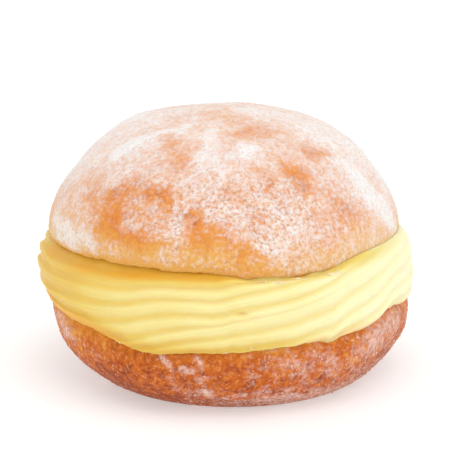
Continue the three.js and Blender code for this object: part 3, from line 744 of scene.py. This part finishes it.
# The fifth colour of each crust is the painted shade in its pinholes.
lid_look = crust("lid_crust", LID_STOPS, (0.84, 0.49, 0.13), (0.88, 0.845, 0.82), (0.56, 0.25, 0.10), 1000, 3, 0.58, 1.45, 0.6, 1.2, 0.3, 0.0, 0.12, 0.05)
base_look = crust("base_crust", BASE_STOPS, (0.74, 0.27, 0.015), (0.90, 0.645, 0.565), (0.33, 0.06, 0.016), 760, 2, 0.35, 2.0, 0.55, 1.6, 0.8, 0.42, 0.08, 0.0)
cream_look = custard("custard_cream")
sugar_look = sugar("icing_sugar", (0.84, 0.80, 0.77), (0.94, 0.93, 0.92))
crystal_look = sugar("sugar_crystals", (0.70, 0.33, 0.20), (0.86, 0.60, 0.49))
crumb_look = sugar("crumb", (0.87, 0.60, 0.32), (0.94, 0.80, 0.56))

# ---- pieces --------------------------------------------------------------------------------------
lid_grid, lid_fields = make_lid()
base_grid, base_fields = make_base()
cream_grid, cream_fields = make_cream()
MAIN, SPARE = np.array((0.5, 0.5)), np.array((0.07, 0.07))


def lid_map(uv, P):
    disc(uv, list(range(len(uv) - 1, 4, -1)), P, MAIN, 0.495)
    disc(uv, list(range(5)), P, SPARE, 0.06)


def base_map(uv, P):
    disc(uv, list(range(len(uv) - 4)), P, MAIN, 0.495)
    disc(uv, list(range(len(uv) - 1, len(uv) - 5, -1)), P, SPARE, 0.06)


def cream_map(uv, P):
    bands(uv, list(range(7, len(uv) - 7)), P, 4, 0.0, 0.94)
    disc(uv, list(range(7)), P, np.array((0.03, 0.97)), 0.027)
    disc(uv, list(range(len(uv) - 1, len(uv) - 8, -1)), P, np.array((0.1, 0.97)), 0.027)


lid = lathe("lid", lid_grid, lid_fields, lid_map)
base = lathe("base", base_grid, base_fields, base_map)
cream = lathe("cream", cream_grid, cream_fields, cream_map)
lid_grains = scatter("lid_sugar", lid_grid, lambda p: np.clip((lid_sugar(p) - 0.2) / 0.8, 0, 1) ** 1.6, 11000, 0.16, 0.4, 71,
                     lambda p: p[:, 2] > lid_under(p[:, 0] * 0.99, p[:, 1] * 0.99) + 0.8)
base_grains = scatter("base_sugar", base_grid, lambda p: np.clip((base_sugar(p) + 0.1) / 0.7, 0.06, 1) ** 1.4, 3600, 0.28, 0.8, 72,
                      lambda p: (p[:, 2] > 0.4) & (np.hypot(p[:, 0], p[:, 1]) > 30) & (p[:, 2] < base_over(p[:, 0] * 0.98, p[:, 1] * 0.98) - 0.6))
flakes = crumbs("crumbs", cream_grid, 7, 7 + 111, crumb_marks(9), 10)

for piece, node, slot, look in ((lid, "bun_lid", "lid_crust", lid_look), (base, "bun_base", "base_crust", base_look),
                                (cream, "cream_filling", "custard_cream", cream_look),
                                (lid_grains, None, "lid_crust", sugar_look), (base_grains, None, "base_crust", crystal_look),
                                (flakes, None, "lid_crust", crumb_look)):
    piece.data.materials.append(look)
    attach(piece, "root")
    if node:
        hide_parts(node)

# ---- floor, light and camera -----------------------------------------------------------------------
floor_mesh = bpy.data.meshes.new("floor")
floor_mesh.from_pydata([(-4, -4, -0.0002), (4, -4, -0.0002), (4, 4, -0.0002), (-4, 4, -0.0002)], [], [(0, 1, 2, 3)])
floor = bpy.data.objects.new("floor", floor_mesh)
bpy.context.collection.objects.link(floor)
pale = bpy.data.materials.new("floor")
pale.use_nodes = True
pale.node_tree.nodes["Principled BSDF"].inputs["Base Color"].default_value = (0.62, 0.62, 0.62, 1)
pale.node_tree.nodes["Principled BSDF"].inputs["Roughness"].default_value = 0.9
# The floor glows like a light table: it lights the bun from below and pales the shadows on it.
pale.node_tree.nodes["Principled BSDF"].inputs["Emission Color"].default_value = (1, 1, 1, 1)
pale.node_tree.nodes["Principled BSDF"].inputs["Emission Strength"].default_value = 0.43
floor_mesh.materials.append(pale)

scene = bpy.context.scene
scene.view_settings.view_transform = "Standard"
world = bpy.data.worlds.new("studio")
world.use_nodes = True
world.node_tree.nodes["Background"].inputs["Color"].default_value = (1, 1, 1, 1)
world.node_tree.nodes["Background"].inputs["Strength"].default_value = 0.87
scene.world = world


def aim(obj, at, towards):
    from mathutils import Vector
    obj.location = at
    obj.rotation_euler = (Vector(towards) - Vector(at)).to_track_quat("-Z", "Y").to_euler()
    bpy.context.collection.objects.link(obj)


def soft_light(name, at, spread, strength):
    lamp = bpy.data.lights.new(name, "SUN")
    lamp.angle, lamp.energy = radians(spread), strength
    aim(bpy.data.objects.new(name, lamp), at, (0, 0, 0.035))


soft_light("key", (0.2, -0.4, 0.9), 50, 0.9)

lens = bpy.data.cameras.new("camera")
lens.sensor_width, lens.lens = 36, 36 * 600 / (453 * 0.262)
lens.clip_start = 0.01
camera = bpy.data.objects.new("camera", lens)
tilt = radians(15)
aim(camera, (0.00023, -0.6 * cos(tilt) + 0.0001, 0.038 + 0.6 * sin(tilt)), (0.00023, 0.0001, 0.038))
scene.camera = camera
